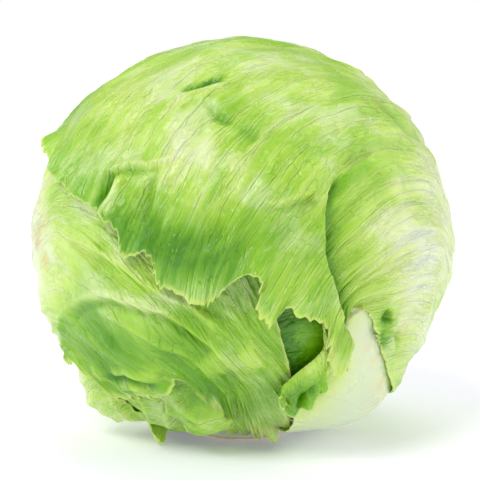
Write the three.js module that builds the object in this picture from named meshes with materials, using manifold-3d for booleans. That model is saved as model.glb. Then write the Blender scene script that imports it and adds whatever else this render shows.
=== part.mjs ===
// A head of crisp lettuce, standing on its cut stem: wrapper leaves round the outside,
// head leaves folded beneath them, a tight heart in the middle and the stem up the axis.
// Millimetres, +Z up, the origin on the surface under the middle of the head. +Y is the back.
import * as THREE from "three";
import { mergeVertices } from "three/addons/utils/BufferGeometryUtils.js";
import Module from "manifold-3d";

// Driving dimensions
const headRadius = 84; // from the middle of the head to its outermost leaf
const headCentre = 80; // height of that middle above the surface
const bladeThickness = 0.8; // of a wrapper leaf
const layerPitch = 1.7; // from one layer of wrapper leaves to the next below it
const crownSpace = 1; // more room below the crown wrapper leaf, which is the largest and the loosest
const innerStart = 12.5; // depth of the first head leaf below the outermost leaf
const innerPitch = 2.9;
const innerThickness = 1.3;
const innerCount = 9;
const goldenAngle = 137.5; // degrees round the stem from one leaf to the next
const heartDepth = innerStart + innerPitch * innerCount;
const stemRadius = 20; // at the cut face
const stemHeight = 52;
const clearance = 0.4; // between the stem and what it is set in
const cellLength = 13; // side of a facet across a wrapper leaf's widest row
const innerCellLength = 24;

// The lobes that make the head less than round: direction [azimuth, elevation], height, spread.
// Azimuth 0 faces the front and 90 the right. Both are in degrees.
const lobes = [
  { at: [60, -46], height: 6, spread: 14 }, // knuckle of the front rib leaf
  { at: [98, -52], height: -7, spread: 18 }, // hollow to the right of the knuckle
  { at: [40, -76], height: -8, spread: 13 }, // the rib's foot, clear of the surface
  { at: [-76, -46], height: 4.5, spread: 17 }, // lower left shoulder
  { at: [20, 75], height: -1.8, spread: 30 }, // flatter crown
  { at: [95, 5], height: 2, spread: 34 }, // wider than tall
  { at: [-95, 0], height: 4, spread: 34 },
  { at: [175, 0], height: -1, spread: 40 },
];

const toRadians = THREE.MathUtils.degToRad;

// Unit vector from the middle of the head.
function direction(azimuth, elevation) {
  const a = toRadians(azimuth);
  const e = toRadians(elevation);
  return new THREE.Vector3(Math.cos(e) * Math.sin(a), -Math.cos(e) * Math.cos(a), Math.sin(e));
}

// Distance from the middle of the head to its outside in direction d, flat where it rests.
function outerRadius(d) {
  let radius = headRadius;
  for (const lobe of lobes) {
    const angle = THREE.MathUtils.radToDeg(d.angleTo(direction(...lobe.at)));
    radius += lobe.height * Math.exp(-((angle / lobe.spread) ** 2));
  }
  return d.z < 0 ? Math.min(radius, headCentre / -d.z) : radius;
}

function surfacePoint(d, depth) {
  return d.clone().multiplyScalar(outerRadius(d) - depth).add(new THREE.Vector3(0, 0, headCentre));
}

// A smooth curve through directions on the head, read by any parameter that rises along it.
function curveOnHead(points, parameters) {
  const curve = new THREE.CatmullRomCurve3(points.map(([a, e]) => direction(a, e)), false, "centripetal");
  const last = points.length - 1;
  return (value) => {
    let i = 0;
    while (i < last - 1 && value > parameters[i + 1]) i += 1;
    const share = (value - parameters[i]) / (parameters[i + 1] - parameters[i]);
    return curve.getPoint((i + THREE.MathUtils.clamp(share, 0, 1)) / last).normalize();
  };
}

// The arc of a side vein: it leaves the midrib leaning towards the tip, and bends to the margin.
function veinPoint(from, to, lean, share) {
  const middle = from.clone().add(to).normalize().add(lean).normalize();
  return from.clone().multiplyScalar((1 - share) ** 2)
    .addScaledVector(middle, 2 * share * (1 - share))
    .addScaledVector(to, share ** 2)
    .normalize();
}

// Grid of directions over a leaf: rows go up the midrib, columns from the left margin to the right.
// Each margin point is [azimuth, elevation, where on the midrib its vein starts, 0 to 1].
// Both margins end at the tip, so the two halves of the last row lie on each other.
function leafGrid(leaf, cell) {
  const knots = leaf.midrib.map((_, i) => i / (leaf.midrib.length - 1));
  const midrib = curveOnHead(leaf.midrib, knots);
  const [left, right] = [leaf.left, leaf.right].map((side) => {
    const points = [...side, leaf.tip];
    return curveOnHead(points, points.map((p) => p[2]));
  });
  const samples = Array.from({ length: 25 }, (_, i) => i / 24);
  const lengthOf = (curve) => samples.slice(1).reduce((sum, s, i) => sum + curve(s).angleTo(curve(samples[i])), 0);
  const reach = Math.max(...samples.flatMap((s) => [left, right].map((side) => side(s).angleTo(midrib(s)))));
  const rows = Math.ceil((Math.max(...[midrib, left, right].map(lengthOf)) * headRadius) / (cell * 1.2));
  const columns = Math.ceil((reach * headRadius) / cell);
  return Array.from({ length: rows + 1 }, (_, i) => {
    const s = i / rows;
    const origin = midrib(s);
    const ahead = midrib(Math.min(1, s + 0.02)).sub(midrib(Math.max(0, s - 0.02))).normalize();
    return Array.from({ length: 2 * columns + 1 }, (_, j) => {
      const margin = (j < columns ? left : right)(s);
      const lean = ahead.clone().multiplyScalar(leaf.lean * origin.angleTo(margin));
      return j === columns ? origin : veinPoint(origin, margin, lean, Math.abs(j - columns) / columns);
    });
  });
}

// A closed thin shell over the leaf's grid.
function leafGeometry(leaf, depth, thickness, cell) {
  const grid = leafGrid(leaf, cell);
  const width = grid[0].length;
  const positions = [depth, depth + thickness].flatMap((level) =>
    grid.flatMap((row) => row.flatMap((d) => surfacePoint(d, level).toArray())));
  const inner = grid.length * width; // index of the first vertex on the inner side
  const triangles = [];
  const quad = (a, b, c, d) => triangles.push(a, b, c, a, c, d);
  for (let i = 0; i + 1 < grid.length; i += 1) {
    const first = i * width;
    const last = first + width - 1;
    for (let a = first; a < last; a += 1) {
      quad(a, a + 1, a + width + 1, a + width);
      quad(inner + a, inner + a + width, inner + a + width + 1, inner + a + 1);
    }
    quad(first, first + width, inner + first + width, inner + first);
    quad(last, inner + last, inner + last + width, last + width);
  }
  for (let j = 0; j + 1 < width; j += 1) quad(j, inner + j, inner + j + 1, j + 1);
  const geometry = new THREE.BufferGeometry();
  geometry.setAttribute("position", new THREE.Float32BufferAttribute(positions, 3));
  geometry.setIndex(triangles);
  return mergeVertices(geometry, 1e-3);
}

// The wrapper leaves. Layer 0 is the outermost, and leaves in one layer lie clear of each other.
// The front of the head is azimuth 0.
const wrapperLeaves = {
  crown_wrapper_leaf: {
    layer: 0,
    lean: 0.25,
    midrib: [[106, -73], [98, -45], [94, -10], [93, 25], [98, 60], [-160, 84], [-84, 66], [-84, 48]],
    left: [[88, -66, 0], [74, -50, 0.08], [58, -38, 0.14], [44, -23, 0.2], [35, -12, 0.26], [31, -24, 0.33],
      [20, -14, 0.4], [9, -10, 0.465], [3, 0, 0.52], [-9, -6, 0.58], [-21, 0, 0.65], [-32, 8, 0.715],
      [-55, 19, 0.82], [-76, 26, 0.93]],
    tip: [-93, 30, 1],
    right: [[132, -68, 0], [146, -40, 0.14], [160, -12, 0.32], [180, 8, 0.55], [-150, 22, 0.78], [-118, 32, 0.93]],
  },
  front_rib_leaf: {
    layer: 1,
    lean: 0.2,
    midrib: [[50, -72], [52, -60], [50, -45], [44, -28], [36, -10], [26, 8], [16, 22]],
    left: [[38, -70, 0], [28, -56, 0.14], [18, -43, 0.27], [14, -35, 0.38], [20, -26, 0.5], [24, -19, 0.62],
      [18, 4, 0.82], [12, 22, 0.93]],
    tip: [14, 36, 1],
    right: [[82, -66, 0], [79, -54, 0.14], [73, -43, 0.25], [62, -29, 0.44], [58, -8, 0.66], [46, 16, 0.84],
      [30, 32, 0.94]],
  },
  left_wrapper_leaf: {
    layer: 2,
    lean: 0.2,
    midrib: [[-104, -72], [-96, -42], [-86, -8], [-74, 20], [-54, 42]],
    left: [[-132, -68, 0], [-142, -42, 0.2], [-150, -10, 0.42], [-146, 20, 0.62], [-122, 44, 0.8], [-88, 58, 0.93]],
    tip: [-52, 62, 1],
    right: [[-88, -66, 0], [-84, -44, 0.13], [-76, -29, 0.2], [-60, -38, 0.26], [-42, -41, 0.32], [-20, -33, 0.37],
      [-6, -48, 0.42], [8, -63, 0.46], [28, -66, 0.5], [19, -43, 0.55], [12, -19, 0.63], [9, 8, 0.76],
      [-12, 42, 0.92]],
  },
  pocket_leaf: {
    layer: 3,
    lean: 0.15,
    midrib: [[34, -72], [33, -50], [33, -26], [33, 0], [33, 14]],
    left: [[24, -69, 0], [25, -50, 0.18], [19, -34, 0.34], [12, -18, 0.52], [10, -4, 0.72], [14, 16, 0.92]],
    tip: [32, 28, 1],
    right: [[72, -69, 0], [66, -50, 0.2], [60, -24, 0.46], [56, 2, 0.74], [46, 20, 0.9]],
  },
  lower_left_leaf: {
    layer: 3,
    lean: 0.15,
    midrib: [[-79, -64], [-77, -52], [-73, -38], [-67, -20], [-61, -4]],
    left: [[-104, -60, 0], [-104, -50, 0.14], [-98, -36, 0.4], [-90, -14, 0.68], [-76, 4, 0.9]],
    tip: [-58, 10, 1],
    right: [[-58, -66, 0], [-51, -61, 0.08], [-56, -51, 0.18], [-57, -42, 0.3], [-48, -28, 0.58], [-42, -4, 0.86]],
  },
  rear_wrapper_leaf: {
    layer: 3,
    lean: 0.2,
    midrib: [[-170, -72], [-172, -48], [-175, -15], [-178, 18], [-176, 40]],
    left: [[162, -69, 0], [140, -44, 0.15], [130, -14, 0.38], [134, 18, 0.64], [152, 44, 0.88]],
    tip: [-176, 58, 1],
    right: [[-132, -69, 0], [-126, -44, 0.15], [-112, -14, 0.38], [-114, 16, 0.64], [-138, 42, 0.88]],
  },
  lower_front_leaf: {
    layer: 4,
    lean: 0.15,
    midrib: [[4, -72], [0, -54], [-4, -34], [-4, -12], [-4, 0]],
    left: [[-4, -70, 0], [-20, -63, 0.1], [-29, -51, 0.24], [-36, -41, 0.37], [-39, -30, 0.52], [-35, -17, 0.68],
      [-26, 4, 0.88]],
    tip: [-6, 14, 1],
    right: [[28, -69, 0], [30, -52, 0.2], [32, -30, 0.46], [28, -6, 0.72], [14, 8, 0.9]],
  },
  rear_right_leaf: {
    layer: 4,
    lean: 0.2,
    midrib: [[128, -72], [124, -48], [118, -18], [116, 10], [118, 26]],
    left: [[76, -69, 0], [60, -49, 0.16], [52, -23, 0.4], [58, 6, 0.66], [86, 30, 0.88]],
    tip: [120, 44, 1],
    right: [[166, -69, 0], [176, -44, 0.16], [178, -14, 0.4], [168, 16, 0.68], [146, 36, 0.9]],
  },
  under_front_leaf: {
    layer: 5,
    lean: 0.15,
    midrib: [[-36, -68], [-38, -54], [-40, -34], [-40, -10], [-40, 2]],
    left: [[-56, -64, 0], [-61, -55, 0.14], [-67, -42, 0.34], [-70, -20, 0.64], [-58, 10, 0.9]],
    tip: [-40, 16, 1],
    right: [[-14, -68, 0], [-13, -52, 0.18], [-10, -30, 0.46], [-10, -4, 0.74], [-22, 12, 0.9]],
  },
};

// A head leaf, alike all round the heart: its midrib climbs at one azimuth and its tip folds over the crown.
function headLeaf(azimuth) {
  const side = (sign) => [[sign * 22, -64, 0], [sign * 58, -38, 0.18], [sign * 74, -4, 0.42], [sign * 78, 30, 0.68],
    [sign * 84, 58, 0.88]].map(([a, e, s]) => [azimuth + a, e, s]);
  return {
    lean: 0.2,
    midrib: [-67, -35, 0, 35, 66].map((elevation) => [azimuth, elevation]),
    left: side(-1),
    tip: [azimuth, 84, 1],
    right: side(1),
  };
}

// The stem tapers from the cut face to its growing point in the heart.
function stemGeometry() {
  const profile = [[0, 0], [stemRadius - 2, 0], [stemRadius, 2], [stemRadius - 0.5, 14], [17, 30], [12, 44],
    [5, stemHeight - 1], [0, stemHeight]].map(([x, y]) => new THREE.Vector2(x, y));
  return new THREE.LatheGeometry(profile, 28).rotateX(Math.PI / 2);
}

// The heart: small leaves crumpled into one tight ball, lumpy like the head round it.
function heartGeometry() {
  const ball = new THREE.IcosahedronGeometry(1, 4);
  const position = ball.getAttribute("position");
  for (let i = 0; i < position.count; i += 1) {
    const d = new THREE.Vector3().fromBufferAttribute(position, i).normalize();
    const fold = 1 + Math.sin(5 * Math.atan2(d.y, d.x) + 4 * d.z) * (1 - d.z * d.z);
    position.setXYZ(i, ...surfacePoint(d, heartDepth + fold).toArray());
  }
  return ball;
}

const wasm = await Module();
wasm.setup();

// A closed mesh as a manifold-3d solid, and back.
function solidOf(geometry) {
  const bare = new THREE.BufferGeometry().setAttribute("position", geometry.getAttribute("position"));
  if (geometry.index) bare.setIndex(geometry.index);
  const merged = mergeVertices(bare, 1e-3);
  return new wasm.Manifold(new wasm.Mesh({
    numProp: 3,
    vertProperties: merged.getAttribute("position").array,
    triVerts: new Uint32Array(merged.index.array),
  }));
}

function geometryOf(solid) {
  const mesh = solid.getMesh();
  return new THREE.BufferGeometry()
    .setAttribute("position", new THREE.BufferAttribute(mesh.vertProperties, 3))
    .setIndex(new THREE.BufferAttribute(mesh.triVerts, 1));
}

// The socket that the stem fills, a little larger than the stem.
function stemSocket(stem) {
  const factor = 1 + clearance / 4;
  return stem.clone().scale(factor, factor, 1).translate(0, 0, clearance);
}

const materials = {
  blade: new THREE.MeshStandardMaterial({ color: 0x9fcf52, roughness: 0.42, metalness: 0 }),
  paleBlade: new THREE.MeshStandardMaterial({ color: 0xdcebb4, roughness: 0.45, metalness: 0 }),
  headLeaf: new THREE.MeshStandardMaterial({ color: 0xd9ecae, roughness: 0.45, metalness: 0 }),
  heart: new THREE.MeshStandardMaterial({ color: 0xeef2c8, roughness: 0.5, metalness: 0 }),
  stem: new THREE.MeshStandardMaterial({ color: 0xe9ecd6, roughness: 0.6, metalness: 0 }),
};

const head = new THREE.Group();

function addPiece(name, geometry, material) {
  const mesh = new THREE.Mesh(geometry, material);
  mesh.name = name;
  head.add(mesh);
}

for (const [name, leaf] of Object.entries(wrapperLeaves)) {
  const material = name === "front_rib_leaf" ? materials.paleBlade : materials.blade;
  const depth = leaf.layer * layerPitch + (leaf.layer > 0 ? crownSpace : 0);
  addPiece(name, leafGeometry(leaf, depth, bladeThickness, cellLength), material);
}

for (let k = 0; k < innerCount; k += 1) {
  const leaf = headLeaf((k * goldenAngle) % 360);
  const geometry = leafGeometry(leaf, innerStart + k * innerPitch, innerThickness, innerCellLength);
  addPiece(`head_leaf_${String(k + 1).padStart(2, "0")}`, geometry, materials.headLeaf);
}

const stem = stemGeometry();
addPiece("stem", stem, materials.stem);
addPiece("heart", geometryOf(solidOf(heartGeometry()).subtract(solidOf(stemSocket(stem)))), materials.heart);

export default head;
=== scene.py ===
import bpy
import itertools
import math
import numpy as np
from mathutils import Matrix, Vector


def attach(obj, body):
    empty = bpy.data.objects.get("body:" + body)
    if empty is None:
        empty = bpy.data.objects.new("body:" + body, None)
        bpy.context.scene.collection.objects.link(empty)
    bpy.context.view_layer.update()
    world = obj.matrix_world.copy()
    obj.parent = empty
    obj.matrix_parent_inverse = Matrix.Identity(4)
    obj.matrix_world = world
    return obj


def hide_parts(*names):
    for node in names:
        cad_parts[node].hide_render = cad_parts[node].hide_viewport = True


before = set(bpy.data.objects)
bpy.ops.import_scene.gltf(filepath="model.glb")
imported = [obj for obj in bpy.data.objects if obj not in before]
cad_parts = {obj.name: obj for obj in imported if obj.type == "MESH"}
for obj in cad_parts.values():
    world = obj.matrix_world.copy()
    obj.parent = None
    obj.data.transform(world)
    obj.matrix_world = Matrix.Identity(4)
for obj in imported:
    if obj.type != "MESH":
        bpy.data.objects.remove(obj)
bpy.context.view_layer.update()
bpy.ops.object.select_all(action="DESELECT")
mm = 0.001

# Directions are [azimuth, elevation] in degrees from the middle of the head.
# Azimuth 0 faces the front and 90 the right. Lengths are in millimetres until a mesh is written.
headShape = {
    "radius": 84,
    "centre": 80,  # height of the middle
    "lobes": [[60, -46, 6, 14], [98, -52, -7, 18], [40, -76, -8, 13], [-76, -46, 4.5, 17],
              [20, 75, -1.8, 30], [95, 5, 2, 34], [-95, 0, 4, 34],
              [175, 0, -1, 40]],  # azimuth, elevation, height, spread in degrees
    "blade": 0.6,  # thickness of a leaf
    "gap": 0.35,  # least space between two leaves
    "foot": [0.8, 0.4, 9],  # least height of a leaf, how much it varies and the size of the waves
}
headMiddle = np.array([0, 0, headShape["centre"]])
ballRadius = headShape["radius"]


def direction(azimuth, elevation):
    a, e = np.radians(azimuth), np.radians(elevation)
    return np.stack([np.cos(e) * np.sin(a), -np.cos(e) * np.cos(a), np.sin(e)], axis=-1)


# The directions of rows that start with azimuth and elevation.
def directionsOf(rows):
    return direction([row[0] for row in rows], [row[1] for row in rows])


def unit(v):
    return v / np.linalg.norm(v, axis=-1, keepdims=True)


def smooth(low, high, x):
    t = np.clip((x - low) / (high - low), 0, 1)
    return t * t * (3 - 2 * t)


def bell(x, width):
    return np.exp(-(x / width) ** 2)


def angleFrom(d, azimuth, elevation):
    return np.degrees(np.arccos(np.clip(d @ direction(azimuth, elevation), -1, 1)))


def headRadius(d):
    radius = np.full(d.shape[:-1], float(ballRadius))
    for azimuth, elevation, height, spread in headShape["lobes"]:
        radius += height * bell(angleFrom(d, azimuth, elevation), spread)
    return np.minimum(radius, headShape["centre"] / np.maximum(-d[..., 2], 0.01))


# Smooth random values from -1 to 1 at points whose lumps are about size apart.
def noise(points, size, seed):
    p = points / size
    cell = np.floor(p).astype(np.int64)
    f = p - cell
    f = f * f * (3 - 2 * f)
    total = 0
    for corner in itertools.product((0, 1), repeat=p.shape[-1]):
        h = np.full(p.shape[:-1], seed * 374761393, dtype=np.int64)  # a hash of the seed and the cell
        weight = 1
        for axis, step in enumerate(corner):
            h = (h ^ ((cell[..., axis] + step) * 668265263)) * 1274126177 & 0xffffffff
            h = h ^ (h >> 15)
            weight = weight * (f[..., axis] if step else 1 - f[..., axis])
        total = total + weight * ((h & 0xffff) / 32767.5 - 1)
    return total


# Values between the [position, value] rows of a table.
def readTable(at, table):
    return np.interp(at, [row[0] for row in table], [row[1] for row in table])


# Places between points that lie at the knots.
def readPoints(at, knots, points):
    return np.stack([np.interp(at, knots, points[:, k]) for k in range(3)], axis=-1)


# Length run along a row of directions, in mm.
def runAlong(line):
    return np.cumsum(np.r_[0, np.linalg.norm(np.diff(line, axis=0), axis=-1)]) * ballRadius


gridShape = {
    "curveSteps": 1600,
    "midribSoftness": 0.04,
    "midribShare": 0.4,  # what the midrib's length counts for in spreading the rows
    "ahead": 0.02,  # step along the midrib that gives its heading
    "drawnOut": 1.35,  # makes the columns denser towards the margin
    "veinColumns": 48,
    "relaxedRow": 4,  # every fourth row is moved, the rest follow
    "pleatWeight": 3.5,  # how much denser the columns are on a pleat
    "pleatWidth": 3.5,
}


# A smooth curve through points, as parameter values that rise along it and its directions there.
def curveThrough(points, knots, softness):
    steps = gridShape["curveSteps"]
    fine = np.linspace(0, 1, steps + 1)
    raw = readPoints(fine, knots, points)
    reach = int(softness * steps * 2.5)
    kernel = np.exp(-0.5 * (np.arange(-reach, reach + 1) / (softness * steps)) ** 2)
    kernel /= kernel.sum()
    padded = np.pad(raw, ((reach, reach), (0, 0)), mode="reflect", reflect_type="odd")
    soft = unit(np.stack([np.convolve(padded[:, k], kernel, "valid") for k in range(3)], axis=-1))
    return fine, soft


def readCurve(curve, at):
    return unit(readPoints(at, *curve))


def marginCurve(side, tip, softness):
    points = side + [tip]
    return curveThrough(directionsOf(points), np.array([p[2] for p in points], dtype=float), softness)


# Signed distance from a line on the head, in mm, positive on its right, and the share of the way along it.
def fromLine(d, line):
    points = directionsOf(line) * ballRadius
    q = d * ballRadius
    best = np.full(d.shape[:-1], 1e9)
    signed = np.full(d.shape[:-1], 1e9)
    along = np.zeros(d.shape[:-1])
    for i in range(len(points) - 1):
        a, b = points[i], points[i + 1]
        t = np.clip(((q - a) @ (b - a)) / ((b - a) @ (b - a)), 0, 1)
        gap = q - (a + t[..., None] * (b - a))
        distance = np.linalg.norm(gap, axis=-1)
        side = np.sign(np.cross(b - a, gap) @ unit((a + b) / 2))
        closer = distance < best
        best = np.where(closer, distance, best)
        signed = np.where(closer, -side * distance, signed)
        along = np.where(closer, (i + t) / (len(points) - 1), along)
    return signed, along


# Where on the midrib each row of a leaf starts, and the grids of its left and right half.
# Rows climb the midrib, columns run from it to the margin.
def leafGrid(leaf):
    points = leaf["midrib"]
    knots = np.array([p[2] if len(p) > 2 else k / (len(points) - 1) for k, p in enumerate(points)])
    midrib = curveThrough(directionsOf(points), knots, gridShape["midribSoftness"])
    tip = points[-1][:2] + [1]
    left = marginCurve(leaf["left"], tip, leaf["softness"])
    right = marginCurve(leaf["right"], tip, leaf["softness"])
    speed = [np.linalg.norm(np.gradient(c[1], axis=0), axis=-1) for c in (midrib, left, right)]
    travel = np.cumsum(speed[0] * gridShape["midribShare"] + np.maximum(speed[1], speed[2]) + 1e-5)
    s = np.interp(np.linspace(travel[0], travel[-1], leaf["rows"] + 1), travel, midrib[0])
    origin = readCurve(midrib, s)
    step = gridShape["ahead"]
    ahead = unit(readCurve(midrib, np.minimum(1, s + step)) - readCurve(midrib, np.maximum(0, s - step)))
    lean = readTable(s, leaf["lean"])
    halves = []
    for curve, columns in ((left, leaf["columns"][0]), (right, leaf["columns"][1])):
        margin = readCurve(curve, s)
        reach = np.arccos(np.clip((origin * margin).sum(-1), -1, 1))
        middle = unit(unit(origin + margin) + ahead * (lean * reach)[:, None])
        across = 1 - (1 - np.linspace(0, 1, columns + 1)) ** gridShape["drawnOut"]
        grid = relax(archRows(origin, middle, margin, gridShape["veinColumns"]), leaf["relax"])
        halves.append({"reach": reach * ballRadius, "run": runAlong(margin), "grid": grid,
                       "share": np.broadcast_to(across, (len(s), columns + 1)).copy()})
    return s, halves


# Curved rows from the midrib over a middle point to the margin.
def archRows(origin, middle, margin, columns):
    k = np.linspace(0, 1, columns + 1)[None, :, None]
    return unit(origin[:, None] * (1 - k) ** 2 + middle[:, None] * (2 * k * (1 - k))
                + margin[:, None] * k ** 2)


# Evens out a grid of directions so that its rows never cross.
def relax(grid, rounds):
    centre = unit(grid.mean(axis=(0, 1)))
    side = unit(np.cross(centre, [0.3, 0.2, 1]))
    above = np.cross(centre, side)

    def flatten(d):
        return np.stack([d @ side, d @ above], axis=-1) / (1 + d @ centre)[..., None]

    picked = np.unique(np.r_[np.arange(0, len(grid), gridShape["relaxedRow"]), len(grid) - 1])
    flat = flatten(grid[picked])
    start = flat.copy()
    for _ in range(rounds):
        across = (flat[1:-1, 2:] - flat[1:-1, :-2]) / 2
        upward = (flat[2:, 1:-1] - flat[:-2, 1:-1]) / 2
        a = (upward ** 2).sum(axis=-1, keepdims=True) + 1e-12
        b = (upward * across).sum(axis=-1, keepdims=True)
        c = (across ** 2).sum(axis=-1, keepdims=True) + 1e-12
        twist = flat[2:, 2:] - flat[2:, :-2] - flat[:-2, 2:] + flat[:-2, :-2]
        flat[1:-1, 1:-1] = (a * (flat[1:-1, 2:] + flat[1:-1, :-2]) + c * (flat[2:, 1:-1] + flat[:-2, 1:-1])
                            - b * twist / 2) / (2 * (a + c))
    shift = flat - start
    rows = np.arange(len(grid))
    shift = np.stack([[np.interp(rows, picked, shift[:, j, k]) for j in range(grid.shape[1])]
                      for k in (0, 1)])
    flat = flatten(grid) + shift.transpose(2, 1, 0)
    reach = (flat ** 2).sum(axis=-1, keepdims=True)
    return unit(2 * flat[..., :1] * side + 2 * flat[..., 1:] * above + (1 - reach) * centre)


# Directions on each row of a half at a share of the way to the margin.
def veinPoints(half, share):
    grid = half["grid"]
    at = share * (grid.shape[1] - 1)
    j = np.clip(np.floor(at).astype(int), 0, grid.shape[1] - 2)
    rows = np.arange(len(grid))[:, None]
    k = (at - j)[..., None]
    return unit(grid[rows, j] * (1 - k) + grid[rows, j + 1] * k)


# Moves the columns of a half closer together where the leaf is pleated.
def crowdColumns(half, pleats):
    count = half["share"].shape[1]
    dense = np.broadcast_to(np.linspace(0, 1, count * 3), (len(half["grid"]), count * 3))
    d = veinPoints(half, dense)
    weight = 0.35 + 0.65 * dense ** 2
    for pleat in pleats:
        distance, _ = fromLine(d, pleat["line"])
        weight = weight + gridShape["pleatWeight"] * bell(distance, gridShape["pleatWidth"])
    total = np.cumsum(weight, axis=1)
    total = (total - total[:, :1]) / (total[:, -1:] - total[:, :1])
    even = np.linspace(0, 1, count)
    for i in range(len(dense)):
        half["share"][i] = np.interp(even, total[i], dense[i])


# Uneven teeth: how far a margin reaches out at each length run along it.
def toothWave(run, size, seed):
    warp = noise(run[:, None], 11, seed) * 0.9 + 0.25 * noise(run[:, None], 2.5, seed + 4)
    wave = np.abs(np.mod(run / size + warp, 1) * 2 - 1)
    uneven = 0.65 + 0.6 * noise(run[:, None], 6, seed + 1)
    return wave ** 1.4 * uneven + 0.8 * noise(run[:, None], 9, seed + 2)


# A gaussian ridge or valley on the head, long side turned by heading from straight up.
def ridge(d, azimuth, elevation, height, width, length, heading):
    c = direction(azimuth, elevation)
    up = unit(np.array([0.0, 0, 1]) - c * c[2])
    east = np.cross(up, c)
    h = math.radians(heading)
    axis = up * math.cos(h) + east * math.sin(h)
    offset = (d - c) * ballRadius
    along = offset @ axis
    across = offset @ np.cross(axis, c)
    near = (d @ c) > 0
    return np.where(near, height * np.exp(-(along / length) ** 2 - (across / width) ** 2), 0)


# One half of a leaf, sign -1 for the left: directions, distance to the margin, distance from the midrib,
# how far the frill lifts it, and share of the way to the margin.
def makeHalf(leaf, s, half, frill, sign, seed):
    if leaf["pleats"]:
        crowdColumns(half, leaf["pleats"])
    share = half["share"]
    frilled = readTable(s, frill)
    tooth = toothWave(half["run"], leaf["toothSize"], seed + sign) * leaf["tooth"] * frilled
    edge = (1 - share) * half["reach"][:, None]
    reach = np.maximum(half["reach"], 1)[:, None]
    d = veinPoints(half, share + tooth[:, None] * bell(edge, 3.5) / reach * smooth(0, 0.3, share))
    run = half["run"][:, None]
    swing = 2 * math.pi * half["run"] / leaf["ruffleSize"] + 4 * noise(run, 30, seed + 3 * sign)
    wave = (0.5 + 0.5 * np.sin(swing))[:, None]
    crinkle = noise(run, 3.2, seed + 5 * sign)[:, None]
    lift = frilled[:, None] * (leaf["ruffle"] * (0.2 + 0.8 * wave) * bell(edge, leaf["ruffleReach"])
                               + crinkle * bell(edge, 2.6))
    return [d, edge, sign * share * half["reach"][:, None], lift * smooth(0, 0.25, share), share]


# Folds the left margin outward into a collar that lies on its own leaf.
def foldCollar(collar, s, left, seed):
    d, edge, lateral, lift, share = left
    crest = d[:, -1]
    knots = [p[2] for p in collar["margin"]]
    hem = unit(readPoints(s, knots, directionsOf(collar["margin"])))
    inside = smooth(knots[0] - 0.03, knots[0] + 0.02, s) * (1 - smooth(knots[-1] - 0.02, knots[-1] + 0.03, s))
    hem = unit(crest + (hem - crest) * inside[:, None])
    width = np.linalg.norm(hem - crest, axis=-1) * ballRadius
    t = np.linspace(0, 1, collar["columns"] + 1)[None, 1:]
    run = runAlong(hem)
    tooth = toothWave(run, collar["toothSize"], seed + 50) * collar["tooth"] * inside / np.maximum(width, 1)
    k = t * (1 + (tooth[:, None] - 0.05) * t ** 6)
    extra = unit(crest[:, None] * (1 - k[..., None]) + hem[:, None] * k[..., None])
    out = t * width[:, None]
    hemEdge = (1 - t) * width[:, None]
    swing = 2 * math.pi * run / collar["ruffleSize"] + 3 * noise(run[:, None], 20, seed + 51)
    wave = 0.5 + 0.5 * np.sin(swing)
    rise = collar["rise"] * inside[:, None]
    roll = rise + collar["roll"] * (1 - np.exp(-out / 0.8)) * inside[:, None]
    roll = roll + wave[:, None] * collar["ruffle"] * inside[:, None] * bell(hemEdge, 6)
    lift = lift + rise * np.exp(-(edge / 5) ** 1.5)
    pairs = [[d, extra], [edge + width[:, None] + 2, hemEdge], [lateral, lateral[:, -1:] - out],
             [lift, roll], [share, 1 + out / 40]]
    return [np.concatenate(pair, axis=1) for pair in pairs]


# Side veins: a number that rises by one from vein to vein, where their forks run, and the space between.
def layVeins(leaf, rowShare, d, lateral, share, seed):
    waver = 0.16 * noise(d * ballRadius, 17, seed + 11) * smooth(4, 20, np.abs(lateral))
    phase = leaf["veins"] * rowShare + waver
    cell = np.floor(phase)
    chance = noise(np.stack([cell * 7.3, np.sign(lateral) * 5.1], axis=-1), 1.7, seed + 12)
    spread = smooth(0.3 + 0.25 * chance, 1.05, share) * 0.5
    fork = phase - cell - np.where(np.mod(cell, 2) == 0, spread, 1 - spread)
    spacing = np.linalg.norm(np.gradient(d, axis=0), axis=-1) * ballRadius
    gap = spacing / np.maximum(np.abs(np.gradient(phase, axis=0)), 1e-4)
    return phase, fork, np.clip(gap, 0.5, 40)


# Relief and tints that all leaves share: sizes and heights in mm, each with the seed of its noise.
surface = {
    "lumps": [[28, 1.3, 3], [13, 0.6, 4], [6.5, 0.25, 5]],
    "puckers": [[10, 0.9, 21, 0.45], [5, 0.45, 22, 0.4]],  # the last value draws them out across the leaf
    "creases": [15, 1.3, 23, 0.5],
    "crinkles": [3.4, 0.14, 25],
    "quilts": [19, 0.6, 24],
    "veinValley": 2.0,
    "foldHeight": 1.3,
    # the fold tint paints shade into the valleys of folds and light onto their ridges
    "paintedFoldShading": 0.1,
    "tints": [[30, 0.07, 31], [11, 0.04, 32]],
}


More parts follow.
